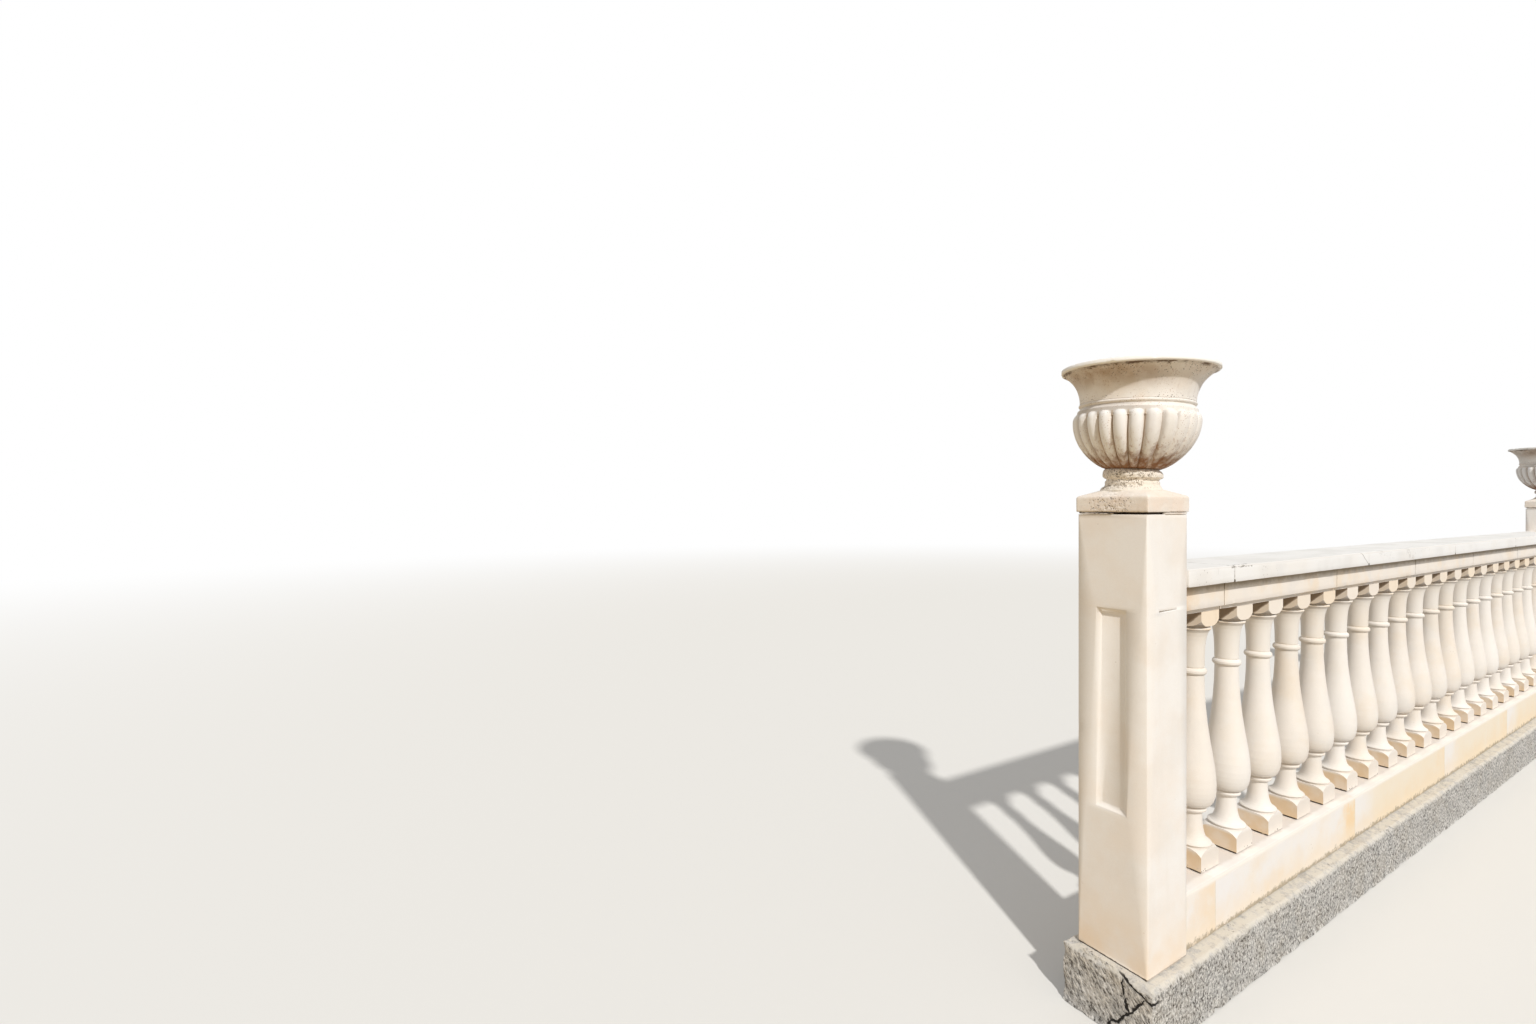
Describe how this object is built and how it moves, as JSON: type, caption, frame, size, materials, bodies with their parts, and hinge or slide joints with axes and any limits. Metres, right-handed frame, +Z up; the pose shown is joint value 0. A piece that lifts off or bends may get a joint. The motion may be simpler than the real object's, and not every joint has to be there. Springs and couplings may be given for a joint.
{
  "type": "stone balustrade",
  "caption": "Cast-stone balustrade with turned balusters on a low curb, a coping-topped rail and square pillars that carry gadrooned urns.",
  "frame": {"origin": "on the underside of the footing, below the middle of the run and of its width", "axes": "+X along the run, from the pillar at the near end to the far one; +Y from the terrace front to the back; +Z up"},
  "size_m": [9.8909, 0.394, 1.7499],
  "materials": {
    "footing_concrete": "matte weathered",
    "curb_stone": "matte weathered",
    "rail_bed_stone": "matte weathered",
    "coping_stone": "matte weathered",
    "baluster_stone": "matte weathered",
    "shaft_stone": "matte weathered",
    "pitted_stone": "matte weathered",
    "urn_stone": "matte weathered"
  },
  "bodies": {
    "root": {"footing": "footing_concrete", "curb_1": "curb_stone", "rail_bed_1": "rail_bed_stone", "rail_coping_1": "coping_stone", "curb_2": "curb_stone", "rail_bed_2": "rail_bed_stone", "rail_coping_2": "coping_stone", "bay_1_balusters_1": "baluster_stone", "bay_1_balusters_2": "baluster_stone", "bay_1_balusters_3": "baluster_stone", "bay_1_balusters_4": "baluster_stone", "bay_1_balusters_5": "baluster_stone", "bay_1_balusters_6": "baluster_stone", "bay_1_balusters_7": "baluster_stone", "bay_2_balusters_1": "baluster_stone", "bay_2_balusters_2": "baluster_stone", "bay_2_balusters_3": "baluster_stone", "bay_2_balusters_4": "baluster_stone", "bay_2_balusters_5": "baluster_stone", "bay_2_balusters_6": "baluster_stone", "bay_2_balusters_7": "baluster_stone", "pillar_shaft_1": "shaft_stone", "pillar_shaft_2": "shaft_stone", "pillar_shaft_3": "shaft_stone", "pillar_cap_1": "pitted_stone", "pillar_cap_2": "pitted_stone", "pillar_cap_3": "pitted_stone", "urn_stem_1": "pitted_stone", "urn_stem_2": "pitted_stone", "urn_stem_3": "pitted_stone", "urn_bowl_1": "urn_stone", "urn_bowl_2": "urn_stone", "urn_bowl_3": "urn_stone"}
  },
  "joints": []
}
